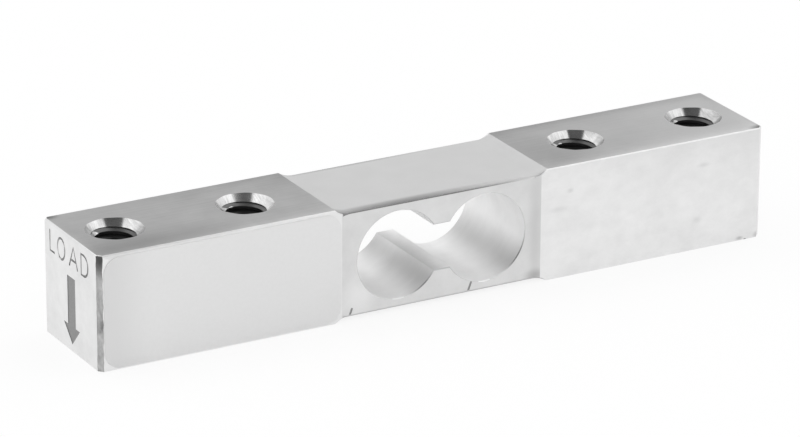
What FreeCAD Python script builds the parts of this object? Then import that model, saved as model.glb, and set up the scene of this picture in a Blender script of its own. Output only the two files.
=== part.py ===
import FreeCAD, Part
import math
import os

# Bending-beam strain gauge load cell. All lengths are in millimetres.
# X runs along the bar, with the load end at -X. Y runs across it, with the labelled side
# at -Y. Z is up. The origin is the middle of the bar's underside.

# Bar: the square aluminium stock and the breaks on its edges, wider on the front corners
BAR_LENGTH = 80.0
BAR_WIDTH = 12.7
BAR_HEIGHT = 12.7
FRONT_CHAMFER = 0.5
BACK_CHAMFER = 0.2
EDGE_BREAK = 0.12

# Gauge recesses: the shallow steps milled across the top and the underside of the neck
RECESS_LENGTH = 25.6
RECESS_DEPTH = 0.62
RECESS_END_RADIUS = 2.0

# Side reliefs: the light skim along both sides of the neck
RELIEF_LENGTH = 24.0
RELIEF_DEPTH = 0.12
RELIEF_END_RADIUS = 6.0
NECK_EDGE_BREAK = 0.1

# Twin-hole cut: two bores joined by a slot, right through the neck from side to side
HOLE_DIAMETER = 9.8
HOLE_SPACING = 10.4
SLOT_HEIGHT = 5.1
HOLE_EDGE_BREAK = 0.1

# Tapped holes: a pair at each end, through the bar from top to bottom
END_DISTANCE = 5.0
HOLE_PITCH = 15.0
TAP_DRILL = 4.2
COUNTERSINK_DIAMETER = 6.2
COUNTERSINK_ANGLE = 90.0

# Seals: the compound poured level in each gauge recess
COVER_THICKNESS = 0.25
COVER_END_RADIUS = 4.0
COVER_END_LAND = 0.03
COVER_SIDE_MARGIN = 0.02
COVER_EDGE_RADIUS = 0.18

# Strain gauges: carrier film, and the foil grid with its two tabs at the inner end
FILM_LENGTH = 5.0
FILM_WIDTH = 4.6
FILM_THICKNESS = 0.04
FOIL_THICKNESS = 0.02
GRID_LENGTH = 3.2
GRID_LINES = 9
GRID_LINE_WIDTH = 0.2
GRID_LINE_GAP = 0.12
TAB_LENGTH = 0.9
TAB_WIDTH = 1.1
FILM_MARGIN = 0.25

# Terminal strip: laminate with a row of copper pads across the bar
STRIP_LENGTH = 1.6
STRIP_WIDTH = 7.2
STRIP_THICKNESS = 0.08
PAD_LENGTH = 1.1
PAD_WIDTH = 1.4
PAD_PITCH = 2.3
PAD_THICKNESS = 0.03

# Jumpers: fine flat wires, level with the pads' upper faces, and the solder beads round their ends
WIRE_WIDTH = 0.1
WIRE_THICKNESS = 0.04
WIRE_BED = 0.01
WIRE_BOW = 0.35
BEAD_WIDTH = 0.5
BEAD_TOP_WIDTH = 0.26
BEAD_COVER = 0.03
BEAD_SIDES = 8

# Label: a blank film with rounded corners on the load end's front side
LABEL_THICKNESS = 0.08
LABEL_TOP_MARGIN = 0.35
LABEL_LOWER_MARGIN = 0.2
LABEL_END_MARGIN = 0.1
LABEL_NECK_MARGIN = 0.1
LABEL_CORNER_RADIUS = 1.8

# Places worked out from the sizes above
MID_HEIGHT = BAR_HEIGHT / 2
GAUGE_FLOOR = MID_HEIGHT - RECESS_DEPTH
NECK_HALF_WIDTH = BAR_WIDTH / 2 - RELIEF_DEPTH
HOLE_RADIUS = HOLE_DIAMETER / 2
HOLE_OFFSET = HOLE_SPACING / 2
OUTER_HOLE_X = BAR_LENGTH / 2 - END_DISTANCE
INNER_HOLE_X = OUTER_HOLE_X - HOLE_PITCH
OVERCUT = 1.0
SAME_PLACE = 1e-6

X_AXIS = FreeCAD.Vector(1, 0, 0)
Y_AXIS = FreeCAD.Vector(0, 1, 0)
Z_AXIS = FreeCAD.Vector(0, 0, 1)


def block(length, width, height, x=0.0, y=0.0, z=0.0):
    """A box centred on x and y that stands on z."""
    corner = FreeCAD.Vector(x - length / 2, y - width / 2, z)
    return Part.makeBox(length, width, height, corner)


def prism(edges, direction):
    """The solid swept by a flat closed outline along a vector."""
    outline = Part.Wire(Part.__sortEdges__(edges))
    return Part.Face(outline).extrude(direction)


def arc_end_reach(radius, depth):
    """How far a milled end of this radius runs on after it has reached its full depth."""
    return math.sqrt(radius ** 2 - (radius - depth) ** 2)


def step_edges(half_length, floor, rim, radius, place):
    """A flat floor whose two ends curve up to the rim.

    place(u, v) gives the point that lies u along the step and v out from the bar's middle.
    """
    reach = arc_end_reach(radius, rim - floor)
    flat = half_length - reach
    turn = math.asin(reach / radius) / 2
    mid_u = flat + radius * math.sin(turn)
    mid_v = floor + radius * (1 - math.cos(turn))
    left_end = Part.Arc(place(-half_length, rim), place(-mid_u, mid_v), place(-flat, floor))
    right_end = Part.Arc(place(flat, floor), place(mid_u, mid_v), place(half_length, rim))
    floor_line = Part.LineSegment(place(-flat, floor), place(flat, floor))
    return [left_end.toShape(), floor_line.toShape(), right_end.toShape()]


def step_cutter(length, floor, rim, radius, place, direction):
    """The material that a cutter removes from one side of the neck."""
    half = length / 2
    edges = step_edges(half, floor, rim, radius, place)
    corners = [
        place(half, rim),
        place(half, rim + OVERCUT),
        place(-half, rim + OVERCUT),
        place(-half, rim),
    ]
    for start, end in zip(corners, corners[1:]):
        edges.append(Part.makeLine(start, end))
    return prism(edges, direction)


def straight_edges(shape, axis):
    """The straight edges of a box that run along an axis."""
    found = []
    for edge in shape.Edges:
        start, end = edge.Vertexes[0].Point, edge.Vertexes[-1].Point
        if (end - start).cross(axis).Length < SAME_PLACE:
            found.append(edge)
    return found


def edges_where(shape, is_there):
    """The edges of a shape whose end points and middle are all where the test says."""
    found = []
    for edge in shape.Edges:
        points = [vertex.Point for vertex in edge.Vertexes] + [edge.CenterOfMass]
        if all(is_there(point) for point in points):
            found.append(edge)
    return found


def bar_blank():
    """The stock, centred on the origin, with broken edges all round its top and underside."""
    bar = block(BAR_LENGTH, BAR_WIDTH, BAR_HEIGHT, z=-MID_HEIGHT)
    for side, chamfer in ((-1, FRONT_CHAMFER), (1, BACK_CHAMFER)):
        corners = [edge for edge in straight_edges(bar, Z_AXIS) if edge.CenterOfMass.y * side > 0]
        outer = [edge for edge in corners if abs(edge.CenterOfMass.x) > BAR_LENGTH / 2 - SAME_PLACE]
        bar = bar.makeChamfer(chamfer, outer)
    rims = edges_where(bar, lambda point: abs(abs(point.z) - MID_HEIGHT) < SAME_PLACE)
    return bar.makeChamfer(EDGE_BREAK, rims)


def gauge_recess(side):
    """The cutter for the recess on top (side 1) or underneath (side -1)."""

    def place(u, v):
        return FreeCAD.Vector(u, -BAR_WIDTH, side * v)

    return step_cutter(RECESS_LENGTH, GAUGE_FLOOR, MID_HEIGHT, RECESS_END_RADIUS, place, Y_AXIS * 2 * BAR_WIDTH)


def side_relief(side):
    """The cutter for the relief at the back (side 1) or the front (side -1)."""

    def place(u, v):
        return FreeCAD.Vector(u, side * v, -BAR_HEIGHT)

    return step_cutter(
        RELIEF_LENGTH, NECK_HALF_WIDTH, BAR_WIDTH / 2, RELIEF_END_RADIUS, place, Z_AXIS * 2 * BAR_HEIGHT
    )


def twin_hole():
    """The two bores and the slot between them, as one outline cut from front to back."""
    half_slot = SLOT_HEIGHT / 2
    corner_x = HOLE_OFFSET - math.sqrt(HOLE_RADIUS ** 2 - half_slot ** 2)
    outer_x = HOLE_OFFSET + HOLE_RADIUS

    def place(x, z):
        return FreeCAD.Vector(x, -BAR_WIDTH, z)

    edges = [
        Part.Arc(place(-corner_x, half_slot), place(-outer_x, 0), place(-corner_x, -half_slot)).toShape(),
        Part.Arc(place(corner_x, half_slot), place(outer_x, 0), place(corner_x, -half_slot)).toShape(),
        Part.makeLine(place(-corner_x, half_slot), place(corner_x, half_slot)),
        Part.makeLine(place(-corner_x, -half_slot), place(corner_x, -half_slot)),
    ]
    return prism(edges, Y_AXIS * 2 * BAR_WIDTH)


def tapped_hole(x):
    """A tap drill right through, with a countersink at the top and one at the underside."""
    bore = Part.makeCylinder(TAP_DRILL / 2, BAR_HEIGHT, FreeCAD.Vector(x, 0, -MID_HEIGHT), Z_AXIS)
    slope = math.tan(math.radians(COUNTERSINK_ANGLE / 2))
    depth = (COUNTERSINK_DIAMETER - TAP_DRILL) / 2 / slope
    for side in (1, -1):
        mouth = FreeCAD.Vector(x, 0, side * MID_HEIGHT)
        cone = Part.makeCone(COUNTERSINK_DIAMETER / 2, TAP_DRILL / 2, depth, mouth, Z_AXIS * -side)
        bore = bore.fuse(cone)
    return bore


def on_neck_edge(point):
    """Whether a point is on a long edge of the neck, between a recess and a side relief."""
    on_floor = abs(abs(point.z) - GAUGE_FLOOR) < SAME_PLACE
    return on_floor and abs(point.y) > NECK_HALF_WIDTH - SAME_PLACE


def on_hole_rim(point):
    """Whether a point is on the rim of the twin hole, at the front or the back."""
    on_side = abs(abs(point.y) - NECK_HALF_WIDTH) < SAME_PLACE
    in_reach = abs(point.x) < HOLE_OFFSET + HOLE_RADIUS + SAME_PLACE
    return on_side and in_reach and abs(point.z) < HOLE_RADIUS + SAME_PLACE


def make_beam():
    """The machined bar."""
    cutters = [gauge_recess(1), gauge_recess(-1), side_relief(1), side_relief(-1), twin_hole()]
    for x in (-OUTER_HOLE_X, -INNER_HOLE_X, INNER_HOLE_X, OUTER_HOLE_X):
        cutters.append(tapped_hole(x))
    beam = bar_blank().cut(cutters)
    beam = beam.makeChamfer(NECK_EDGE_BREAK, edges_where(beam, on_neck_edge))
    return beam.makeChamfer(HOLE_EDGE_BREAK, edges_where(beam, on_hole_rim))


def film_middle(side):
    """Where a gauge's film is centred along the bar, so that its grid is over the hole."""
    return side * (HOLE_OFFSET + GRID_LENGTH / 2 + FILM_MARGIN - FILM_LENGTH / 2)


def gauge_film(side):
    """The carrier film of the left (side -1) or right (side 1) gauge."""
    return block(FILM_LENGTH, FILM_WIDTH, FILM_THICKNESS, x=film_middle(side), z=GAUGE_FLOOR)


def grid_line_y(index):
    """The middle of a grid line, counted across the gauge."""
    return (index - (GRID_LINES - 1) / 2) * (GRID_LINE_WIDTH + GRID_LINE_GAP)


def tab_places(side):
    """The middles of a gauge's front and back tabs, at the film's inner end."""
    tab_x = film_middle(side) - side * (FILM_LENGTH / 2 - FILM_MARGIN - TAB_LENGTH / 2)
    tab_y = FILM_WIDTH / 2 - FILM_MARGIN - TAB_WIDTH / 2
    return [FreeCAD.Vector(tab_x, across * tab_y, GAUGE_FLOOR + FILM_THICKNESS) for across in (-1, 1)]


def gauge_grid(side):
    """The foil: lines along the bar, joined end to end in a zigzag, with a tab at each end."""
    level = GAUGE_FLOOR + FILM_THICKNESS
    grid_x = side * HOLE_OFFSET
    foil = []
    for index in range(GRID_LINES):
        foil.append(block(GRID_LENGTH, GRID_LINE_WIDTH, FOIL_THICKNESS, grid_x, grid_line_y(index), level))
    for index in range(GRID_LINES - 1):
        outward = -side if index % 2 else side
        turn_x = grid_x + outward * (GRID_LENGTH - GRID_LINE_WIDTH) / 2
        turn_y = (grid_line_y(index) + grid_line_y(index + 1)) / 2
        pitch = GRID_LINE_WIDTH + GRID_LINE_GAP
        foil.append(block(GRID_LINE_WIDTH, pitch, FOIL_THICKNESS, turn_x, turn_y, level))
    grid_end = grid_x - side * (GRID_LENGTH / 2 - GRID_LINE_WIDTH)
    for tab, line_y in zip(tab_places(side), (grid_line_y(0), grid_line_y(GRID_LINES - 1))):
        foil.append(block(TAB_LENGTH, TAB_WIDTH, FOIL_THICKNESS, tab.x, tab.y, level))
        lead_x = (tab.x + grid_end) / 2
        foil.append(block(abs(tab.x - grid_end), GRID_LINE_WIDTH, FOIL_THICKNESS, lead_x, line_y, level))
    return foil[0].fuse(foil[1:]).removeSplitter()


def terminal_strip():
    """The laminate strip between the two gauges."""
    return block(STRIP_LENGTH, STRIP_WIDTH, STRIP_THICKNESS, z=GAUGE_FLOOR)


def pad_places():
    """The middles of the pads, on the strip's surface, from front to back."""
    level = GAUGE_FLOOR + STRIP_THICKNESS
    return [FreeCAD.Vector(0, row * PAD_PITCH, level) for row in (-1, 0, 1)]


def terminal_pads():
    """The copper pads, as separate solids."""
    pads = []
    for place in pad_places():
        pads.append(block(PAD_LENGTH, PAD_WIDTH, PAD_THICKNESS, place.x, place.y, place.z))
    return pads


def jumper_runs():
    """The tab and the pad that each jumper joins: both gauges share the middle pad."""
    front_pad, middle_pad, back_pad = [place + Z_AXIS * PAD_THICKNESS for place in pad_places()]
    runs = []
    for side, own_pad in ((-1, front_pad), (1, back_pad)):
        front_tab, back_tab = [place + Z_AXIS * FOIL_THICKNESS for place in tab_places(side)]
        near_tab, far_tab = (front_tab, back_tab) if side < 0 else (back_tab, front_tab)
        shift = X_AXIS * side * PAD_LENGTH / 4
        runs.append((near_tab, own_pad + shift))
        runs.append((far_tab, middle_pad + shift))
    return runs


def jumper_wire(tab, pad):
    """A flat wire that runs level from over a tab to a pad and bows sideways on the way."""
    level = pad.z + WIRE_BED
    first, last = FreeCAD.Vector(tab.x, tab.y, level), FreeCAD.Vector(pad.x, pad.y, level)
    across = (last - first).cross(Z_AXIS).normalize() * math.copysign(1, tab.x * tab.y)
    path = Part.Arc(first, (first + last) / 2 - across * WIRE_BOW, last)
    heading = path.tangent(path.FirstParameter)[0]
    half_width = heading.cross(Z_AXIS).normalize() * WIRE_WIDTH / 2
    rise = Z_AXIS * WIRE_THICKNESS
    corners = [first - half_width, first + half_width, first + half_width + rise, first - half_width + rise]
    section = Part.makePolygon(corners + corners[:1])
    return Part.Wire([path.toShape()]).makePipeShell([section], True, True)


def solder_bead(place, top):
    """A low tapered bead of solder that stands on a tab or a pad."""
    rings = []
    for width, level in ((BEAD_WIDTH, place.z), (BEAD_TOP_WIDTH, top)):
        ring = []
        for side in range(BEAD_SIDES):
            turn = 2 * math.pi * side / BEAD_SIDES
            x = place.x + width / 2 * math.cos(turn)
            y = place.y + width / 2 * math.sin(turn)
            ring.append(FreeCAD.Vector(x, y, level))
        rings.append(Part.makePolygon(ring + ring[:1]))
    return Part.makeLoft(rings, True, True)


def solder_beads():
    """A bead at both ends of each jumper, all level at the top."""
    beads = []
    for tab, pad in jumper_runs():
        top = pad.z + WIRE_BED + WIRE_THICKNESS + BEAD_COVER
        beads += [solder_bead(tab, top), solder_bead(pad, top)]
    return beads


def cover_layer():
    """The seal before it takes up what lies under it: level, with ends that rise to the rim."""
    width = 2 * (NECK_HALF_WIDTH - NECK_EDGE_BREAK - COVER_SIDE_MARGIN)
    rim = RECESS_LENGTH / 2
    half = rim - COVER_END_LAND
    level = GAUGE_FLOOR + COVER_THICKNESS

    def place(u, v):
        return FreeCAD.Vector(u, -width / 2, v)

    edges = step_edges(half, level, MID_HEIGHT, COVER_END_RADIUS, place)
    edges += step_edges(rim, GAUGE_FLOOR, MID_HEIGHT, RECESS_END_RADIUS, place)
    for side in (-1, 1):
        edges.append(Part.makeLine(place(side * half, MID_HEIGHT), place(side * rim, MID_HEIGHT)))
    layer = prism(edges, Y_AXIS * width)

    def on_upper_rim(point):
        on_side = abs(abs(point.y) - width / 2) < SAME_PLACE
        return on_side and point.z > level - SAME_PLACE and abs(point.x) < half + SAME_PLACE

    return layer.makeFillet(COVER_EDGE_RADIUS, edges_where(layer, on_upper_rim))


def side_label():
    """The blank label on the load end's front side."""
    left = -BAR_LENGTH / 2 + FRONT_CHAMFER + LABEL_END_MARGIN
    right = -RELIEF_LENGTH / 2 - LABEL_NECK_MARGIN
    front = -BAR_WIDTH / 2 - LABEL_THICKNESS
    corner = FreeCAD.Vector(left, front, -MID_HEIGHT + LABEL_LOWER_MARGIN)
    height = BAR_HEIGHT - LABEL_TOP_MARGIN - LABEL_LOWER_MARGIN
    label = Part.makeBox(right - left, LABEL_THICKNESS, height, corner)
    return label.makeFillet(LABEL_CORNER_RADIUS, straight_edges(label, Y_AXIS))


def upside_down(shape):
    """The same piece on the underside, mirrored through the bar's middle height."""
    return shape.mirror(FreeCAD.Vector(0, 0, 0), Z_AXIS)


def build():
    """Every piece by node name, with the bar's middle at the origin."""
    beam = make_beam()
    films = {"left": gauge_film(-1), "right": gauge_film(1)}
    grids = {"left": gauge_grid(-1), "right": gauge_grid(1)}
    strip = terminal_strip()
    pads = terminal_pads()
    wires = [jumper_wire(tab, pad) for tab, pad in jumper_runs()]
    solder = [bead.cut(wires) for bead in solder_beads()]
    sealed_in = [*films.values(), *grids.values(), strip, *pads, *wires, *solder]
    cover = cover_layer().cut(sealed_in)

    pieces = {"beam": beam, "side_label": side_label()}
    for level, turned in (("top", lambda shape: shape), ("bottom", upside_down)):
        pieces[level + "_cover"] = turned(cover)
        for side in ("left", "right"):
            pieces["gauge_film_" + level + "_" + side] = turned(films[side])
            pieces["gauge_grid_" + level + "_" + side] = turned(grids[side])
        pieces["terminal_strip_" + level] = turned(strip)
        pieces["terminal_pads_" + level] = turned(Part.makeCompound(pads))
        pieces["jumper_wires_" + level] = turned(Part.makeCompound(wires))
        pieces["solder_joints_" + level] = turned(Part.makeCompound(solder))
    return pieces


os.makedirs("parts", exist_ok=True)
for name, shape in build().items():
    shape.translate(Z_AXIS * MID_HEIGHT)
    shape.exportStep("parts/" + name + ".step")
    box = shape.BoundBox
    print(
        "%-26s solids %d valid %s volume %.4f x %.3f..%.3f y %.3f..%.3f z %.3f..%.3f"
        % (name, len(shape.Solids), shape.isValid(), shape.Volume,
           box.XMin, box.XMax, box.YMin, box.YMax, box.ZMin, box.ZMax)
    )
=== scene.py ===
import math

import bmesh
import bpy
from mathutils import Matrix, Vector, noise


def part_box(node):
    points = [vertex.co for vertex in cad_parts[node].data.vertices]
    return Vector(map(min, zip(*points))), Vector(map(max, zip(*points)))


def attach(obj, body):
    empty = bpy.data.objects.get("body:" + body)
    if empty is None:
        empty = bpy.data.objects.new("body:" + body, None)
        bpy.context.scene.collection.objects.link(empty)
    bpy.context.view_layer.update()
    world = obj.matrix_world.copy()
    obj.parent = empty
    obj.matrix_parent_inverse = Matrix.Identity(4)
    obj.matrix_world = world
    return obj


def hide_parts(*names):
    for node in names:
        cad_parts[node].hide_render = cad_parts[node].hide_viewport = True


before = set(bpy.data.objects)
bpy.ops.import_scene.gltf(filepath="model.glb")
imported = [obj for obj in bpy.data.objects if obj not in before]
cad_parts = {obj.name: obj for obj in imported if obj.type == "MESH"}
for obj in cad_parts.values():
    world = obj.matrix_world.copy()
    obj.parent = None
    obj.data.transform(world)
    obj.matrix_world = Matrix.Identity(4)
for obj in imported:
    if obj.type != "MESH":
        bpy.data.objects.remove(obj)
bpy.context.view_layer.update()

# Camera: a long lens from the left of the labelled side, looking down on the bar. Its angles are
# counted from straight in front of the labelled side, and its shifts are along the picture.
CAMERA_AZIMUTH = math.radians(-29.41)
CAMERA_ELEVATION = math.radians(21.22)
CAMERA_ROLL = math.radians(0.36)
CAMERA_DISTANCE = 0.49887
CAMERA_LEFT = 0.00136
CAMERA_UP = 0.0009
CAMERA_LENS = 211.8

beam_low, beam_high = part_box("beam")
beam_middle = (beam_low + beam_high) / 2
away = Vector((
    math.sin(CAMERA_AZIMUTH) * math.cos(CAMERA_ELEVATION),
    -math.cos(CAMERA_AZIMUTH) * math.cos(CAMERA_ELEVATION),
    math.sin(CAMERA_ELEVATION),
))
turn = away.to_track_quat("Z", "Y").to_matrix() @ Matrix.Rotation(CAMERA_ROLL, 3, "Z")
camera = bpy.data.objects.new("camera", bpy.data.cameras.new("camera"))
bpy.context.collection.objects.link(camera)
camera.location = beam_middle + turn @ Vector((-CAMERA_LEFT, CAMERA_UP, CAMERA_DISTANCE))
camera.rotation_euler = turn.to_euler()
camera.data.sensor_width = 36.0
camera.data.lens = CAMERA_LENS
camera.data.clip_start = 0.01
camera.data.clip_end = 50.0
bpy.context.scene.camera = camera
bpy.context.scene.view_settings.view_transform = "Standard"


# Studio: a white sweep that the bar stands on, and a white light tent round it. The tent is
# greyer low down all round, most of all at the back, which the brushed tops show, and it has a
# dark gap high over the camera, which the countersinks show.
FLOOR_RADIUS = 6.0
FLOOR_COLOUR = "FAFAFA"
FLOOR_SHADOW_SHARE = 0.15
TENT_LEVEL = 1.0
TENT_GAPS = [
    # azimuth and elevation of the middle, light level, reach of the full and of the faded gap
    (0.0, -90.0, 0.72, 105.0, 135.0),
    (150.6, 12.0, 0.61, 22.0, 58.0),
    (-29.4, 70.0, 0.12, 20.0, 33.0),
]


def linear(hex_colour):
    """An sRGB hex colour as the linear values that a shader takes."""
    channels = [int(hex_colour[place:place + 2], 16) / 255 for place in (0, 2, 4)]
    levels = [
        level / 12.92 if level <= 0.04045 else ((level + 0.055) / 1.055) ** 2.4 for level in channels
    ]
    return (*levels, 1.0)


def add_node(tree, kind, inputs=None, **settings):
    """A node with its settings, whose inputs are given values or linked to sockets."""
    node = tree.nodes.new(kind)
    for name, value in settings.items():
        setattr(node, name, value)
    for name, value in (inputs or {}).items():
        if isinstance(value, bpy.types.NodeSocket):
            tree.links.new(value, node.inputs[name])
        else:
            node.inputs[name].default_value = value
    return node


def new_material(name):
    """A material with an empty node tree."""
    material = bpy.data.materials.new(name)
    material.use_nodes = True
    material.node_tree.nodes.clear()
    return material


floor_material = new_material("white_sweep")
tree = floor_material.node_tree
rays = add_node(tree, "ShaderNodeLightPath").outputs
seen = add_node(tree, "ShaderNodeMath", {
    0: rays["Is Camera Ray"], 1: rays["Is Glossy Ray"],
}, operation="MAXIMUM")
seen = add_node(tree, "ShaderNodeMath", {
    0: seen.outputs[0], 1: rays["Is Transmission Ray"],
}, operation="MAXIMUM")
whiteness = add_node(tree, "ShaderNodeMath", {
    0: seen.outputs[0], 1: 1.0 - FLOOR_SHADOW_SHARE,
}, operation="MULTIPLY")
paper = add_node(tree, "ShaderNodeBsdfDiffuse", {"Color": linear(FLOOR_COLOUR)})
white = add_node(tree, "ShaderNodeEmission", {"Strength": 1.0})
mixed = add_node(tree, "ShaderNodeMixShader", {
    0: whiteness.outputs[0], 1: paper.outputs[0], 2: white.outputs[0],
})
add_node(tree, "ShaderNodeOutputMaterial", {"Surface": mixed.outputs[0]})

floor_mesh = bmesh.new()
bmesh.ops.create_circle(floor_mesh, cap_ends=True, radius=FLOOR_RADIUS, segments=96)
floor_data = bpy.data.meshes.new("floor")
floor_mesh.to_mesh(floor_data)
floor_mesh.free()
floor_data.materials.append(floor_material)
floor = bpy.data.objects.new("floor", floor_data)
bpy.context.collection.objects.link(floor)

world = bpy.data.worlds.new("light_tent")
bpy.context.scene.world = world
world.use_nodes = True
tree = world.node_tree
tree.nodes.clear()
heading = add_node(tree, "ShaderNodeTexCoord")


def towards(azimuth, elevation):
    """A direction from the bar, at an azimuth in degrees that is counted as the camera's is."""
    turned, raised = math.radians(azimuth), math.radians(elevation)
    return Vector((
        math.sin(turned) * math.cos(raised), -math.cos(turned) * math.cos(raised), math.sin(raised),
    ))


tent = TENT_LEVEL
for azimuth, elevation, level, full, faded in TENT_GAPS:
    nearness = add_node(tree, "ShaderNodeVectorMath", {
        0: heading.outputs["Generated"], 1: towards(azimuth, elevation),
    }, operation="DOT_PRODUCT")
    gap = add_node(tree, "ShaderNodeMapRange", {
        "Value": nearness.outputs["Value"],
        "From Min": math.cos(math.radians(faded)), "From Max": math.cos(math.radians(full)),
    }, interpolation_type="SMOOTHSTEP")
    tent = add_node(tree, "ShaderNodeMix", {0: gap.outputs[0], "A": tent, "B": level}).outputs[0]
glow = add_node(tree, "ShaderNodeBackground", {"Color": tent, "Strength": 1.0})
add_node(tree, "ShaderNodeOutputWorld", {"Surface": glow.outputs[0]})


def soft_box(name, azimuth, elevation, distance, size, power):
    """A square soft box that faces the bar, at an azimuth counted as the camera's is."""
    lamp = bpy.data.lights.new(name, "AREA")
    lamp.shape = "SQUARE"
    lamp.size = size
    lamp.energy = power
    holder = bpy.data.objects.new(name, lamp)
    bpy.context.collection.objects.link(holder)
    back = towards(azimuth, elevation)
    holder.location = beam_middle + back * distance
    holder.rotation_euler = back.to_track_quat("Z", "Y").to_euler()


SOFT_BOXES = [
    # name, azimuth and elevation in degrees, distance and size in metres, and power in watts
    ("right_soft_box", 90.0, 44.0, 1.5, 1.8, 5.6),
    ("back_left_soft_box", 212.0, 44.0, 1.5, 1.8, 5.6),
    ("front_soft_box", -42.0, 30.0, 1.5, 1.7, 5.2),
]
for row in SOFT_BOXES:
    soft_box(*row)


# Beam: one bar of aluminium alloy, cut from drawn stock. The recesses, the reliefs and the
# twin-hole cut are milled, the ends are drilled, countersunk and tapped, and the top and
# underside are belt-brushed along the bar.
MM = 0.001
BEAM = "beam"
bar_size = beam_high - beam_low
HALF_LENGTH = bar_size.x / 2
HALF_WIDTH = bar_size.y / 2
HALF_HEIGHT = bar_size.z / 2
FRONT_CHAMFER = 0.5 * MM
BACK_CHAMFER = 0.2 * MM
EDGE_BREAK = 0.12 * MM
OVERCUT = 1.5 * MM
ARC_STEPS = 24

RECESS_LENGTH = 25.6 * MM
RECESS_DEPTH = 0.62 * MM
RECESS_END_RADIUS = 2.0 * MM
RELIEF_LENGTH = 24.0 * MM
RELIEF_DEPTH = 0.12 * MM
RELIEF_END_RADIUS = 6.0 * MM
NECK_EDGE_BREAK = 0.1 * MM

HOLE_RADIUS = 4.9 * MM
HOLE_OFFSET = 5.2 * MM
SLOT_HEIGHT = 5.1 * MM
HOLE_EDGE_BREAK = 0.1 * MM

HOLE_PLACES = [-35.0 * MM, -20.0 * MM, 20.0 * MM, 35.0 * MM]
TAP_DRILL = 4.2 * MM
THREAD_DIAMETER = 5.0 * MM
THREAD_PITCH = 0.8 * MM
COUNTERSINK_DIAMETER = 6.2 * MM

# A spot with this reach, in millimetres, has no end along that axis.
EVERYWHERE = 1000.0
# Bare metal clouds over in patches of this size, and its noise stays within these levels.
CLOUD_SIZE = 5 * MM
CLOUD_SHARE = 0.6
DARKEST_NOISE, PALEST_NOISE = 0.35, 0.65
ROUGHNESS_CHANGE = 0.05


def shaded(tree, place, colour, spots):
    """A colour socket with soft spots in it, each given as its middle and its reach along each
    axis in millimetres, its own colour and its strength."""
    for centre, reach, spot_colour, strength in spots:
        nearness = add_node(tree, "ShaderNodeMapping", {
            "Vector": place, "Location": Vector(centre) * MM, "Scale": Vector(reach) * MM,
        }, vector_type="TEXTURE")
        nearness = add_node(tree, "ShaderNodeVectorMath", {0: nearness.outputs[0]}, operation="LENGTH")
        nearness = add_node(tree, "ShaderNodeMapRange", {
            "Value": nearness.outputs["Value"], "From Min": 1.0, "From Max": 0.0, "To Max": strength,
        }, interpolation_type="SMOOTHSTEP")
        colour = add_node(tree, "ShaderNodeMix", {
            0: nearness.outputs[0], 6: colour, 7: linear(spot_colour),
        }, data_type="RGBA").outputs[2]
    return colour


def metal(name, colours, roughness, streaks, relief, spots=()):
    """Bare aluminium between a pale and a dark colour, which some finishes use for painted light
    and shade. Streaks are tool marks, as a size in metres along each axis, and relief is how deep
    they are."""
    material = new_material(name)
    tree = material.node_tree
    place = add_node(tree, "ShaderNodeTexCoord").outputs["Object"]
    along = add_node(tree, "ShaderNodeMapping", {
        "Vector": place, "Scale": [1 / length for length in streaks],
    })
    marks = add_node(tree, "ShaderNodeTexNoise", {
        "Vector": along.outputs[0], "Scale": 1.0, "Detail": 6.0, "Roughness": 0.65,
    })
    clouds = add_node(tree, "ShaderNodeTexNoise", {
        "Vector": place, "Scale": 1 / CLOUD_SIZE, "Detail": 4.0, "Roughness": 0.6,
    })
    shade = add_node(tree, "ShaderNodeMix", {
        0: CLOUD_SHARE, "A": marks.outputs["Fac"], "B": clouds.outputs["Fac"],
    }, data_type="FLOAT")
    shade = add_node(tree, "ShaderNodeMapRange", {
        "Value": shade.outputs[0], "From Min": DARKEST_NOISE, "From Max": PALEST_NOISE,
    })
    pale_colour, dark_colour = colours
    colour = add_node(tree, "ShaderNodeMix", {
        0: shade.outputs[0], 6: linear(dark_colour), 7: linear(pale_colour),
    }, data_type="RGBA")
    rough = add_node(tree, "ShaderNodeMapRange", {
        "Value": marks.outputs["Fac"], "From Min": 0.3, "From Max": 0.7,
        "To Min": roughness + ROUGHNESS_CHANGE, "To Max": roughness - ROUGHNESS_CHANGE,
    })
    bump = add_node(tree, "ShaderNodeBump", {
        "Height": marks.outputs["Fac"], "Distance": relief, "Strength": 1.0,
    })
    surface = add_node(tree, "ShaderNodeBsdfPrincipled", {
        "Base Color": shaded(tree, place, colour.outputs[2], spots), "Metallic": 1.0,
        "Roughness": rough.outputs[0], "Normal": bump.outputs[0],
    })
    add_node(tree, "ShaderNodeOutputMaterial", {"Surface": surface.outputs[0]})
    return material


# The sides keep the drawn surface: pale, soft and even, with a few faint stains.
drawn_aluminium = metal(
    "drawn_aluminium", ("EDEDED", "E3E3E3"), 0.38, (1.8 * MM, 1.2 * MM, 1.2 * MM), 0.004 * MM, [
        ((39.6, -6.35, 0.35), (0.8, 1.0, 0.6), "8C8C8C", 0.5),
        ((37.3, -6.35, 0.3), (0.7, 1.0, 0.35), "8C8C8C", 0.5),
        ((39.9, -6.35, 10.5), (0.5, 1.0, 3.0), "A0A0A0", 0.6),
        ((15.6, -6.35, 9.8), (0.6, 1.0, 0.4), "BCBCBC", 0.4),
        ((14.2, -6.35, 7.9), (1.6, 1.0, 0.5), "CECECE", 0.4),
        ((32.4, -6.35, 9.7), (1.2, 1.0, 0.4), "C8C8C8", 0.4),
        ((31.7, -6.35, 3.5), (0.9, 1.0, 0.6), "C8C8C8", 0.4),
    ],
)
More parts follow.
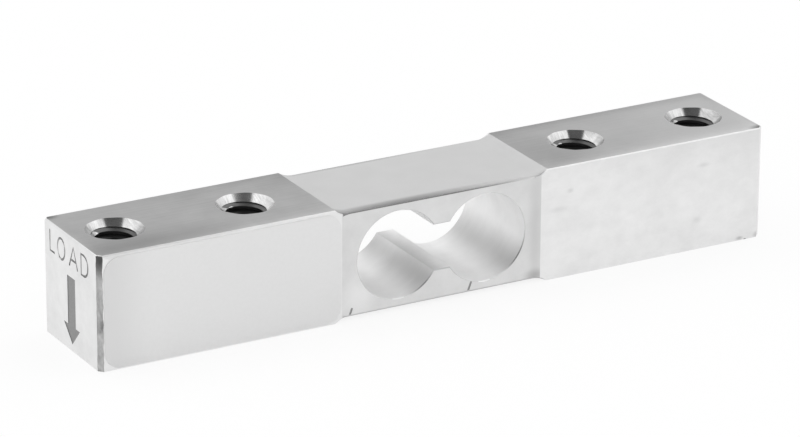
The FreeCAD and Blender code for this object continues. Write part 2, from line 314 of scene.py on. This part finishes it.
# The belt's grit draws long fine streaks along the bar, so the tops blur what they mirror. Real
# ones are about 0.05 mm wide and would not show. The first three spots are painted reflection:
# the tops are lighter towards the right end, and darker over the left block's front and the right
# block's near end.
brushed_aluminium = metal(
    "brushed_aluminium", ("CFCFCF", "BEBEBE"), 0.34, (9 * MM, 0.22 * MM, 0.5 * MM), 0.006 * MM, [
        ((42.0, 0.0, 12.7), (32.0, EVERYWHERE, EVERYWHERE), "E2E2E2", 0.8),
        ((-38.0, -6.0, 12.7), (22.0, 5.5, EVERYWHERE), "989898", 0.85),
        ((15.0, -3.0, 12.7), (8.0, 8.0, EVERYWHERE), "A9A9A9", 0.5),
        ((39.7, -6.1, 12.7), (1.6, 1.0, EVERYWHERE), "505050", 0.8),
        ((-39.7, 6.1, 12.7), (1.6, 1.0, EVERYWHERE), "505050", 0.7),
    ],
)
# A milling cutter with a fine feed leaves the neck even, and a little darker than the sides.
# Painted shade darkens the curved right end of the front relief, most at its foot, and a painted
# lighter patch brightens the front low on the left.
milled_aluminium = metal(
    "milled_aluminium", ("DEDEDE", "D4D4D4"), 0.40, (2 * MM, 1 * MM, 2 * MM), 0.003 * MM, [
        ((11.4, -6.3, 6.0), (1.2, 1.0, 12.0), "C6C6C6", 0.7),
        ((11.4, -6.3, 0.9), (1.8, 1.0, 1.1), "9A9A9A", 0.6),
        ((-10.0, -6.3, 2.5), (3.0, 1.0, 3.5), "EEEEEE", 0.6),
    ],
)
# A boring head leaves a matt wall that spreads the light. Painted shade darkens a band low on
# each bore's right, standing in for the dark that the wall mirrors there.
bored_aluminium = metal(
    "bored_aluminium", ("FBFBFB", "F2F2F2"), 0.62, (6 * MM, 2 * MM, 6 * MM), 0.002 * MM, [
        ((-1.9, 0.0, 2.8), (3.4, EVERYWHERE, 3.0), "7C7C7C", 0.5),
        ((8.5, 0.0, 2.9), (3.4, EVERYWHERE, 3.0), "7C7C7C", 0.5),
    ],
)
# A scraper breaks the edges by hand: a narrow matt line, bright along the tops. Painted shade
# greys the rims round the bores, dims the left block's top front edge, and darkens each bore's
# front rim low on its right.
deburred_aluminium = metal(
    "deburred_aluminium", ("FBFBFB", "F4F4F4"), 0.75, (1 * MM, 1 * MM, 1 * MM), 0.003 * MM, [
        ((0.0, 0.0, 6.35), (24.0, EVERYWHERE, 9.0), "C4C4C4", 0.9),
        ((-40.0, -6.3, 12.7), (36.0, 1.0, 1.0), "DADADA", 0.9),
        ((9.3, -6.2, 3.4), (2.4, 1.0, 3.2), "6A6A6A", 0.8),
        ((-2.2, -6.2, 2.6), (2.0, 1.0, 2.6), "7A7A7A", 0.75),
    ],
)
# The countersink's cutter chatters: shiny, with light and dark stripes down the cone, whose wide
# swing from pale to dark is partly painted reflection of the chatter facets. Its feed lines are
# finer than 0.1 mm in truth, and are drawn at 0.3 mm so that they show.
turned_aluminium = metal(
    "turned_aluminium", ("D6D6D6", "848484"), 0.2, (0.3 * MM, 2 * MM, 4 * MM), 0.004 * MM,
)
# The threads get little light: dark, and greyer near the mouth.
tapped_aluminium = metal(
    "tapped_aluminium", ("5C5C5C", "404040"), 0.42, (1 * MM, 1 * MM, 0.2 * MM), 0.003 * MM, [
        ((0.0, 0.0, 12.4), (EVERYWHERE, EVERYWHERE, 1.5), "707070", 1.0),
    ],
)
# A file leaves bright metal with dark strokes across it, and the colour is darkest at the top of
# the left corner. The right corner is coloured near white as painted light.
filed_aluminium = metal(
    "filed_aluminium", ("D4D4D4", "707070"), 0.34, (0.5 * MM, 0.5 * MM, 1.2 * MM), 0.02 * MM, [
        ((-40.0, -6.35, 12.2), (3.0, 3.0, 3.6), "282828", 0.9),
        ((40.0, -6.35, 6.0), (3.0, 3.0, 30.0), "F4F4F4", 0.85),
    ],
)
# The neck's upper edges are coloured dark grey as painted shade, standing in for the shadowed
# crevice along the seal's edges: a grey line that fades to the right.
painted_shade_edge_aluminium = metal(
    "painted_shade_edge_aluminium", ("8E8E8E", "6E6E6E"), 0.45, (2 * MM, 1 * MM, 1 * MM), 0.004 * MM, [
        ((13.0, 0.0, 6.35), (10.0, EVERYWHERE, EVERYWHERE), "D0D0D0", 1.0),
    ],
)
# A small cutter or a hard point leaves a rough, even grey.
engraved_aluminium = metal(
    "engraved_aluminium", ("A2A2A2", "969696"), 0.6, (0.2 * MM, 0.2 * MM, 0.2 * MM), 0.004 * MM,
)

# How near two points count as one, how near a point counts as in a plane, and the cosine over
# which two directions count as the same.
MERGE_DISTANCE = 1e-7
TOUCH = 1e-6
PARALLEL = 0.99


def mesh_object(name, shape, *materials):
    """An object made from a bmesh, whose first material covers it."""
    data = bpy.data.meshes.new(name)
    bmesh.ops.recalc_face_normals(shape, faces=shape.faces)
    shape.to_mesh(data)
    shape.free()
    for material in materials:
        data.materials.append(material)
    made = bpy.data.objects.new(name, data)
    bpy.context.collection.objects.link(made)
    return made


def box_shape(length, width, height, centre=(0.0, 0.0, 0.0)):
    """A box of the given size."""
    shape = bmesh.new()
    bmesh.ops.create_cube(shape, size=1.0)
    bmesh.ops.scale(shape, vec=(length, width, height), verts=shape.verts)
    bmesh.ops.translate(shape, vec=centre, verts=shape.verts)
    return shape


def edges_along(shape, axis, side=None):
    """The edges that run along one axis, or those of them whose middle passes the side test."""
    found = []
    for edge in shape.edges:
        start, end = [vert.co for vert in edge.verts]
        along = abs((end - start).normalized()[axis]) > PARALLEL
        if along and (side is None or side((start + end) / 2)):
            found.append(edge)
    return found


def round_edges(shape, edges, radius, steps):
    """Rounds edges over, or chamfers them in one step."""
    bmesh.ops.bevel(shape, geom=edges, offset=radius, segments=steps, profile=0.5,
                    affect="EDGES", material=-1)


def milled_step(length, radius, depth, width, height):
    """What a cutter with this corner radius removes: its floor is at zero, its ends rise to the
    given length at the given depth, and it reaches past the metal in width and height."""
    reach = math.sqrt(radius ** 2 - (radius - depth) ** 2)
    full_length = length + 2 * (radius - reach)
    shape = box_shape(full_length, width, height, (0, 0, height / 2))
    round_edges(shape, edges_along(shape, 1, lambda middle: middle.z < height / 2), radius, ARC_STEPS)
    return shape


def turned_shape(profile, steps):
    """A solid turned round the Z axis from points of radius and height, whose first and last
    are on the axis."""
    shape = bmesh.new()
    verts = [shape.verts.new((radius, 0, height)) for radius, height in profile]
    edges = [shape.edges.new(pair) for pair in zip(verts, verts[1:])]
    bmesh.ops.spin(shape, geom=verts + edges, cent=(0, 0, 0), axis=(0, 0, 1), angle=math.tau,
                   steps=steps, use_merge=True)
    bmesh.ops.remove_doubles(shape, verts=shape.verts, dist=MERGE_DISTANCE)
    return shape


def turn_shape(shape, angle, axis):
    """Turns a shape round an axis through the origin."""
    bmesh.ops.rotate(shape, cent=(0, 0, 0), matrix=Matrix.Rotation(angle, 3, axis), verts=shape.verts)


def replace_mesh(target):
    """Applies the target's modifiers to its mesh."""
    bpy.context.view_layer.update()
    evaluated = target.evaluated_get(bpy.context.evaluated_depsgraph_get())
    data = bpy.data.meshes.new_from_object(evaluated)
    old = target.data
    target.modifiers.clear()
    target.data = data
    bpy.data.meshes.remove(old)


def cut(target, cutter):
    """Cuts one object out of another, and gives the cut faces the cutter's material."""
    step = target.modifiers.new("step", "BOOLEAN")
    step.operation = "DIFFERENCE"
    step.solver = "EXACT"
    step.material_mode = "TRANSFER"
    step.object = cutter
    replace_mesh(target)
    bpy.data.meshes.remove(cutter.data)


bar = box_shape(2 * HALF_LENGTH, 2 * HALF_WIDTH, 2 * HALF_HEIGHT)
for chamfer, side in ((FRONT_CHAMFER, -1), (BACK_CHAMFER, 1)):
    corners = edges_along(bar, 2, lambda middle: middle.y * side > HALF_WIDTH - TOUCH)
    round_edges(bar, corners, chamfer, 1)
rims = [edge for edge in bar.edges if abs((edge.verts[0].co - edge.verts[1].co).z) < TOUCH]
round_edges(bar, rims, EDGE_BREAK, 2)

# The front left chamfer is filed by hand, so both of its edges wander, most near the top.
CHAMFER_STEPS = 60
CHAMFER_WAVE = 0.08 * MM
CHAMFER_WAVE_AT_TOP = 0.12 * MM
CHAMFER_WAVE_LENGTH = 0.7 * MM
filed = edges_along(
    bar, 2, lambda middle: middle.x < -HALF_LENGTH + 2 * FRONT_CHAMFER and middle.y < 0,
)
cuts = bmesh.ops.subdivide_edges(bar, edges=filed, cuts=CHAMFER_STEPS, use_grid_fill=True)
for vert in [item for item in cuts["geom_inner"] if isinstance(item, bmesh.types.BMVert)]:
    near_top = max(vert.co.z / HALF_HEIGHT, 0.0) ** 4
    wave = CHAMFER_WAVE + CHAMFER_WAVE_AT_TOP * near_top
    wave *= noise.noise(vert.co / CHAMFER_WAVE_LENGTH)
    if vert.co.x < -HALF_LENGTH + TOUCH:
        vert.co.y += wave
    else:
        vert.co.x += wave
beam = mesh_object(
    "machined_beam", bar, drawn_aluminium, brushed_aluminium, filed_aluminium, deburred_aluminium,
)

NECK_HALF_HEIGHT = HALF_HEIGHT - RECESS_DEPTH
NECK_HALF_WIDTH = HALF_WIDTH - RELIEF_DEPTH
for side in (1, -1):
    recess = milled_step(RECESS_LENGTH, RECESS_END_RADIUS, RECESS_DEPTH,
                         width=3 * HALF_WIDTH, height=3 * MM)
    bmesh.ops.translate(recess, vec=(0, 0, NECK_HALF_HEIGHT), verts=recess.verts)
    turn_shape(recess, 0 if side == 1 else math.pi, "X")
    cut(beam, mesh_object("recess_cutter", recess, milled_aluminium))
    relief = milled_step(RELIEF_LENGTH, RELIEF_END_RADIUS, RELIEF_DEPTH,
                         width=3 * HALF_HEIGHT, height=8 * MM)
    bmesh.ops.translate(relief, vec=(0, 0, NECK_HALF_WIDTH), verts=relief.verts)
    turn_shape(relief, side * math.pi / 2, "X")
    cut(beam, mesh_object("relief_cutter", relief, milled_aluminium))

# The neck's long edges are broken too, by a square bar turned to its corner.
EDGE_CUTTER_LENGTH = 23.2 * MM
EDGE_CUTTER_SHIFT = -0.3 * MM
EDGE_CUTTER_SIDE = 1.0 * MM
outward = EDGE_CUTTER_SIDE / math.sqrt(8) - NECK_EDGE_BREAK / 2
for across, up in ((-1, -1), (-1, 1), (1, -1), (1, 1)):
    corner = box_shape(EDGE_CUTTER_LENGTH, EDGE_CUTTER_SIDE, EDGE_CUTTER_SIDE)
    turn_shape(corner, math.pi / 4, "X")
    middle = (
        EDGE_CUTTER_SHIFT, across * (NECK_HALF_WIDTH + outward), up * (NECK_HALF_HEIGHT + outward),
    )
    bmesh.ops.translate(corner, vec=middle, verts=corner.verts)
    # The upper edges take the painted shade line along the seal; the lower ones stay milled.
    cut(beam, mesh_object("edge_cutter", corner, painted_shade_edge_aluminium if up > 0 else milled_aluminium))

# The two bores are bored across the neck and then joined by a slot, all with broken rims, which
# the cutters' ends flare out for.
BORE_STEPS = 180
flare_start = NECK_HALF_WIDTH - HOLE_EDGE_BREAK
flare_end = NECK_HALF_WIDTH + OVERCUT
flare = flare_end - flare_start
for side in (-1, 1):
    bore = turned_shape([
        (0, -flare_end), (HOLE_RADIUS + flare, -flare_end), (HOLE_RADIUS, -flare_start),
        (HOLE_RADIUS, flare_start), (HOLE_RADIUS + flare, flare_end), (0, flare_end),
    ], BORE_STEPS)
    turn_shape(bore, math.pi / 2, "X")
    bmesh.ops.translate(bore, vec=(side * HOLE_OFFSET, 0, 0), verts=bore.verts)
    cut(beam, mesh_object("bore_cutter", bore, bored_aluminium))
slot = box_shape(2 * HOLE_OFFSET, 2 * flare_start, SLOT_HEIGHT)
for side in (-1, 1):
    side_face = [face for face in slot.faces if face.normal.y * side > PARALLEL]
    grown = bmesh.ops.extrude_face_region(slot, geom=side_face)["geom"]
    corners = [item for item in grown if isinstance(item, bmesh.types.BMVert)]
    bmesh.ops.translate(slot, vec=(0, side * flare, 0), verts=corners)
    bmesh.ops.scale(slot, vec=(1, 1, 1 + 2 * flare / SLOT_HEIGHT), verts=corners)
    bmesh.ops.delete(slot, geom=side_face, context="FACES_ONLY")
cut(beam, mesh_object("slot_cutter", slot, bored_aluminium))

# Each hole's two countersinks are cut as one waisted shape. How often the cutter chattered on
# its way round differs from hole to hole.
CONE_CORE = 0.3 * MM
CONE_STEPS = 96
CHATTER_DEPTH = 0.03 * MM
CHATTER_WAVES = [9, 8, 11, 10]
inner = TAP_DRILL / 2 - CONE_CORE
level = HALF_HEIGHT - (COUNTERSINK_DIAMETER / 2 - inner)
wide = COUNTERSINK_DIAMETER / 2 + OVERCUT
far = HALF_HEIGHT + OVERCUT
for place, waves in zip(HOLE_PLACES, CHATTER_WAVES):
    cone = turned_shape([
        (0, -far), (wide, -far), (inner, -level), (inner, level), (wide, far), (0, far),
    ], CONE_STEPS)
    for vert in cone.verts:
        angle = math.atan2(vert.co.y, vert.co.x)
        chatter = CHATTER_DEPTH * math.sin(waves * angle)
        vert.co.xy += vert.co.xy.normalized() * chatter
    bmesh.ops.translate(cone, vec=(place, 0, 0), verts=cone.verts)
    cut(beam, mesh_object("countersink", cone, turned_aluminium))


# Markings: the word LOAD and an arrow that points down, engraved on the end that carries the
# load. They are laid out in millimetres across and down the end face, from its upper corner at
# the back. The letters are cut along their strokes with a round-nosed cutter.
STROKE_WIDTH = 0.26 * MM
ARROW_DEPTH = 0.05 * MM
LETTER_STROKES = [
    # points of a stroke, and whether it closes on itself: L, the A's legs, its bar, and D
    ([(1.40, 0.80), (1.40, 3.12), (2.50, 3.12)], False),
    ([(5.96, 3.25), (6.95, 0.98), (7.90, 3.25)], False),
    ([(6.31, 2.45), (7.57, 2.45)], False),
    ([
        (8.75, 1.00), (8.75, 3.25), (9.45, 3.25), (9.83, 3.12), (10.12, 2.85), (10.28, 2.50),
        (10.32, 2.12), (10.28, 1.75), (10.12, 1.40), (9.83, 1.13), (9.45, 1.00),
    ], True),
]
O_MIDDLE = (4.06, 2.10)
O_REACH = (0.86, 1.14)
O_STEPS = 32
ARROW = [
    (5.38, 4.45), (7.20, 4.45), (7.20, 9.85), (8.15, 9.85), (6.33, 11.85), (4.42, 9.85),
    (5.38, 9.85),
]


def on_end_face(across, down):
    """A point of the layout, on the end face."""
    return Vector((-HALF_LENGTH, HALF_WIDTH - across * MM, HALF_HEIGHT - down * MM))


def stroke_object(points, closed):
    """The path of a round-nosed cutter along a stroke, as a closed tube."""
    curve = bpy.data.curves.new("stroke", "CURVE")
    curve.dimensions = "3D"
    curve.bevel_depth = STROKE_WIDTH / 2
    curve.bevel_resolution = 2
    curve.use_fill_caps = True
    spline = curve.splines.new("POLY")
    spline.points.add(len(points) - 1)
    for point, place in zip(spline.points, points):
        point.co = (*place, 1.0)
    spline.use_cyclic_u = closed
    drawn = bpy.data.objects.new("stroke", curve)
    bpy.context.collection.objects.link(drawn)
    bpy.context.view_layer.update()
    evaluated = drawn.evaluated_get(bpy.context.evaluated_depsgraph_get())
    data = bpy.data.meshes.new_from_object(evaluated)
    bpy.data.curves.remove(curve)
    shape = bmesh.new()
    shape.from_mesh(data)
    bpy.data.meshes.remove(data)
    bmesh.ops.remove_doubles(shape, verts=shape.verts, dist=MERGE_DISTANCE)
    return mesh_object("stroke", shape, engraved_aluminium)


for points, closed in LETTER_STROKES:
    cut(beam, stroke_object([on_end_face(*point) for point in points], closed))
ring = []
for step in range(O_STEPS):
    angle = math.tau * step / O_STEPS
    across = O_MIDDLE[0] + O_REACH[0] * math.cos(angle)
    down = O_MIDDLE[1] + O_REACH[1] * math.sin(angle)
    ring.append(on_end_face(across, down))
cut(beam, stroke_object(ring, True))

arrow = bmesh.new()
inward = Vector((ARROW_DEPTH, 0, 0))
arrow_face = arrow.faces.new([arrow.verts.new(on_end_face(*point) + inward) for point in ARROW])
grown = bmesh.ops.extrude_face_region(arrow, geom=[arrow_face])["geom"]
corners = [item for item in grown if isinstance(item, bmesh.types.BMVert)]
bmesh.ops.translate(arrow, vec=(-OVERCUT, 0, 0), verts=corners)
cut(beam, mesh_object("arrow", arrow, engraved_aluminium))


# Scribed lines: two short marks on the front of the neck, down to its lower edge. They are
# scratched into the bare metal with a hard point, and slant alike.
SCRIBE_WIDTH = 0.24 * MM
SCRIBE_DEPTH = 0.03 * MM
SCRIBE_SLANT = math.radians(21)
SCRIBED_LINES = [
    # place along the bar and height
    (-11.05 * MM, 0.85 * MM),
    (3.2 * MM, 1.15 * MM),
]
for place, height in SCRIBED_LINES:
    line = box_shape(SCRIBE_WIDTH, 2 * SCRIBE_DEPTH, 2 * height)
    turn_shape(line, SCRIBE_SLANT, "Y")
    bmesh.ops.translate(line, vec=(place, -NECK_HALF_WIDTH, -NECK_HALF_HEIGHT), verts=line.verts)
    cut(beam, mesh_object("scribe", line, engraved_aluminium))


# Threads: coarse metric threads in the aluminium, cut with a tap right through each drilled hole
# after its countersinks. The tap's groove is a helix that starts below the underside.
THREAD_STEPS = 40
THREAD_LEAD_IN = 1.8
crest = TAP_DRILL / 2
root = THREAD_DIAMETER / 2
THREAD_PROFILE = [
    # radius, and height as a share of the pitch
    (crest, 0), (crest, 0.12), (root, 0.5), (crest, 0.88), (crest, 1),
]
turns = math.ceil((2 * HALF_HEIGHT + 2 * THREAD_PITCH) / THREAD_PITCH) + 1
start = -HALF_HEIGHT - THREAD_LEAD_IN * THREAD_PITCH
for place in HOLE_PLACES:
    groove = bmesh.new()
    verts = [
        groove.verts.new((radius, 0, start + share * THREAD_PITCH))
        for radius, share in THREAD_PROFILE
    ]
    edges = [groove.edges.new(pair) for pair in zip(verts, verts[1:])]
    bmesh.ops.spin(groove, geom=verts + edges, cent=(0, 0, 0), axis=(0, 0, 1),
                   angle=math.tau * turns, steps=THREAD_STEPS * turns,
                   dvec=(0, 0, THREAD_PITCH / THREAD_STEPS))
    bmesh.ops.remove_doubles(groove, verts=groove.verts, dist=MERGE_DISTANCE)
    open_edges = [edge for edge in groove.edges if edge.is_boundary]
    bmesh.ops.holes_fill(groove, edges=open_edges, sides=0)
    bmesh.ops.translate(groove, vec=(place, 0, 0), verts=groove.verts)
    cut(beam, mesh_object("tap", groove, tapped_aluminium))


# Nicks: small dents from handling, in three corners and one lower edge of the bar. Each is
# pressed into the bare metal, so its floor is as dull as the engraving.
NICKS = [
    # middle from the bar's own middle, and radius, in millimetres
    ((-40.0, 6.3, 6.35), 0.35),
    ((39.95, -6.35, 6.35), 0.35),
    ((39.9, -6.4, -6.3), 0.3),
    ((38.0, -6.45, -6.4), 0.25),
]
nicks = bmesh.new()
for centre, radius in NICKS:
    bmesh.ops.create_icosphere(nicks, subdivisions=2, radius=radius * MM,
                               matrix=Matrix.Translation(Vector(centre) * MM))
cut(beam, mesh_object("nicks", nicks, engraved_aluminium))

# The uncut faces get their finishes by where they lie: belt-brushed tops and underside, filed
# front corners, and scraped rims round the bores and along the tops' front edges. A face is
# slanted, or bevelled at about 45 degrees, by how much of its normal lies along an axis.
SLANTED = 0.3
LEAST_BEVEL, MOST_BEVEL = 0.6, 0.8
for polygon in beam.data.polygons:
    facing = polygon.normal
    height = abs(polygon.center.z)
    depth = abs(polygon.center.y)
    from_end = HALF_LENGTH - abs(polygon.center.x)
    in_bore = height < HOLE_RADIUS and flare_start < depth < NECK_HALF_WIDTH
    finish = None
    if abs(facing.z) > PARALLEL and height > HALF_HEIGHT - 10 * TOUCH:
        finish = brushed_aluminium
    elif min(abs(facing.x), -facing.y) > SLANTED and from_end < FRONT_CHAMFER:
        finish = filed_aluminium
    elif in_bore and LEAST_BEVEL < abs(facing.y) < MOST_BEVEL:
        finish = deburred_aluminium
    elif min(facing.z, -facing.y) > SLANTED and height > HALF_HEIGHT - EDGE_BREAK:
        finish = deburred_aluminium
    if finish:
        polygon.material_index = beam.data.materials.find(finish.name)

beam.data.transform(Matrix.Translation(beam_middle))
beam.data.shade_smooth()
beam.data.set_sharp_from_angle(angle=math.radians(25))
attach(beam, "root")
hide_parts(BEAM)


# Seals: a grey potting compound poured level into both gauge recesses. It creeps up the
# recess's curved ends and rounds off along its long edges.
SEAL_THICKNESS = 0.25 * MM
SEAL_END_RADIUS = 4.0 * MM
SEAL_END_LAND = 0.03 * MM
SEAL_SIDE_MARGIN = 0.02 * MM
SEAL_EDGE_HEIGHT = 0.2 * MM
SEAL_EDGE_WIDTH = 0.5 * MM
SEAL_END_STEPS = 20


def plain_material(name, colours, grain_size, shader, relief=0.0, detail=2.0, spots=()):
    """A material with a soft grain of two close colours, its constant shader values, and a
    relief in metres where the grain can be felt."""
    material = new_material(name)
    tree = material.node_tree
    place = add_node(tree, "ShaderNodeTexCoord").outputs["Object"]
    grain = add_node(tree, "ShaderNodeTexNoise", {
        "Vector": place, "Scale": 1 / grain_size, "Detail": detail,
    })
    low_colour, high_colour = colours
    colour = add_node(tree, "ShaderNodeMix", {
        0: grain.outputs["Fac"], 6: linear(low_colour), 7: linear(high_colour),
    }, data_type="RGBA")
    surface = add_node(tree, "ShaderNodeBsdfPrincipled", {
        "Base Color": shaded(tree, place, colour.outputs[2], spots), **shader,
    })
    if relief:
        bump = add_node(tree, "ShaderNodeBump", {
            "Height": grain.outputs["Fac"], "Distance": relief,
        })
        tree.links.new(bump.outputs[0], surface.inputs["Normal"])
    add_node(tree, "ShaderNodeOutputMaterial", {"Surface": surface.outputs[0]})
    return material


# Poured silicone sets to a satin grey with a slow ripple about 3 mm long. It thins along both
# long edges, where it draws back from the metal, and painted shade darkens the top seal there,
# fading out towards the right end, standing in for the shadowed crevice at the neck's edges.
potting = plain_material(
    "potting_compound", ("C5C5C5", "CDCDCD"), 3 * MM, {"Roughness": 0.42, "IOR": 1.41},
    relief=0.02 * MM, detail=3.0, spots=[
        ((-5.0, side * 6.2, 12.2), (16.0, 1.0, 4.0), "7C7C7C", 0.85) for side in (-1, 1)
    ],
)


def curved_end(place, half_length, depth, radius):
    """How high a milled or poured end with this radius has risen at a place along the bar."""
    flat = half_length - math.sqrt(radius ** 2 - (radius - depth) ** 2)
    beyond = max(abs(place) - flat, 0.0)
    return radius - math.sqrt(max(radius ** 2 - beyond ** 2, 0.0))


seal_half_width = NECK_HALF_WIDTH - NECK_EDGE_BREAK - SEAL_SIDE_MARGIN
rim = RECESS_LENGTH / 2
level_end = rim - SEAL_END_LAND
level_depth = RECESS_DEPTH - SEAL_THICKNESS
flat_end = level_end - math.sqrt(SEAL_END_RADIUS ** 2 - (SEAL_END_RADIUS - level_depth) ** 2)
stations = [
    flat_end + (level_end - flat_end) * step / SEAL_END_STEPS for step in range(SEAL_END_STEPS + 1)
]
stations.append(rim)
stations = [-station for station in reversed(stations)] + stations
for node, side in (("top_cover", 1), ("bottom_cover", -1)):
    shape = bmesh.new()
    squeeze = SEAL_EDGE_HEIGHT / SEAL_EDGE_WIDTH
    section = [
        shape.verts.new((stations[0], across * seal_half_width * squeeze, height))
        for across, height in ((-1, 0), (1, 0), (1, SEAL_THICKNESS), (-1, SEAL_THICKNESS))
    ]
    shape.faces.new(section)
    bmesh.ops.bevel(shape, geom=section[2:], offset=SEAL_EDGE_HEIGHT, segments=8, profile=0.5,
                    affect="VERTICES", material=-1)
    bmesh.ops.scale(shape, vec=(1, 1 / squeeze, 1), verts=shape.verts)
    cap = shape.faces[:]
    for before, after in zip(stations, stations[1:]):
        grown = bmesh.ops.extrude_face_region(shape, geom=cap)["geom"]
        if before != stations[0]:
            bmesh.ops.delete(shape, geom=cap, context="FACES_ONLY")
        cap = [item for item in grown if isinstance(item, bmesh.types.BMFace)]
        corners = [item for item in grown if isinstance(item, bmesh.types.BMVert)]
        bmesh.ops.translate(shape, vec=(after - before, 0, 0), verts=corners)
    for vert in shape.verts:
        low = curved_end(vert.co.x, rim, RECESS_DEPTH, RECESS_END_RADIUS)
        high = SEAL_THICKNESS + curved_end(vert.co.x, level_end, level_depth, SEAL_END_RADIUS)
        vert.co.z = low + vert.co.z / SEAL_THICKNESS * (min(high, RECESS_DEPTH) - low)
    bmesh.ops.remove_doubles(shape, verts=shape.verts, dist=MERGE_DISTANCE)
    bmesh.ops.translate(shape, vec=(0, 0, NECK_HALF_HEIGHT), verts=shape.verts)
    turn_shape(shape, 0 if side == 1 else math.pi, "X")
    bmesh.ops.translate(shape, vec=beam_middle, verts=shape.verts)
    seal = mesh_object(node.replace("cover", "seal"), shape, potting)
    seal.data.shade_smooth()
    seal.data.set_sharp_from_angle(angle=math.radians(40))
    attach(seal, "root")
    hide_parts(node)


# Label: a blank grey polyester film with rounded corners, stuck on the load end's front side.
LABEL = "side_label"
LABEL_CORNER_RADIUS = 1.8 * MM
LABEL_RIM = 0.03 * MM

# Polyester film has a fine matt coat, and is a little darker towards its left end. The coat's grain
# is finer than 0.1 mm in truth, and is drawn at 0.4 mm so that it shows.
polyester = plain_material(
    "polyester_label", ("DEDEDE", "E3E3E3"), 0.4 * MM, {"Roughness": 0.5, "IOR": 1.57},
    relief=0.004 * MM, spots=[((-39.4, -6.43, 6.3), (6.0, 1.0, EVERYWHERE), "D4D4D4", 0.9)],
)

label_low, label_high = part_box(LABEL)
label_size = label_high - label_low
film = box_shape(*label_size, (label_low + label_high) / 2)
round_edges(film, edges_along(film, 1), LABEL_CORNER_RADIUS, 16)
front_rim = [
    edge for edge in film.edges
    if max(vert.co.y for vert in edge.verts) < label_low.y + TOUCH
]
round_edges(film, front_rim, LABEL_RIM, 3)
label = mesh_object("front_label", film, polyester)
label.data.shade_smooth()
label.data.set_sharp_from_angle(angle=math.radians(30))
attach(label, "root")
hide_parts(LABEL)


# Gauges: etched constantan grids on polyimide carrier films, bonded over and under each bore, and
# the terminal strips, wires and solder that join them. They lie under the seals and keep their
# built shapes. Their grains are as coarse as pieces of a millimetre or two can show.
GAUGE_MATERIALS = {
    # cast polyimide: clear amber
    "gauge_film": plain_material(
        "amber_polyimide", ("C88A34", "B87A28"), 0.5 * MM, {"Roughness": 0.35, "IOR": 1.7},
    ),
    # etched foil: a warm grey metal
    "gauge_grid": plain_material(
        "constantan_foil", ("B8AE9C", "A89E8C"), 0.1 * MM, {"Metallic": 1.0, "Roughness": 0.35},
    ),
    # pressed glass cloth in epoxy: a dull green
    "terminal_strip": plain_material(
        "glass_epoxy", ("5E7A4C", "4E6A40"), 0.2 * MM, {"Roughness": 0.5, "IOR": 1.55},
    ),
    # bare plated pads: pink and bright
    "terminal_pads": plain_material(
        "plated_copper", ("C97E5C", "B96E4C"), 0.1 * MM, {"Metallic": 1.0, "Roughness": 0.3},
    ),
    # drawn wire in clear enamel: a deep red-brown shine
    "jumper_wires": plain_material(
        "enamelled_copper", ("A0522D", "8C4423"), 0.1 * MM, {"Metallic": 1.0, "Roughness": 0.25},
    ),
    # solder set in air: a bright silver grey
    "solder_joints": plain_material(
        "tin_solder", ("C4C6C8", "B0B2B4"), 0.1 * MM, {"Metallic": 1.0, "Roughness": 0.2},
    ),
}
for start_of_name, material in GAUGE_MATERIALS.items():
    for name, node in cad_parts.items():
        if name.startswith(start_of_name):
            node.data.materials.clear()
            node.data.materials.append(material)
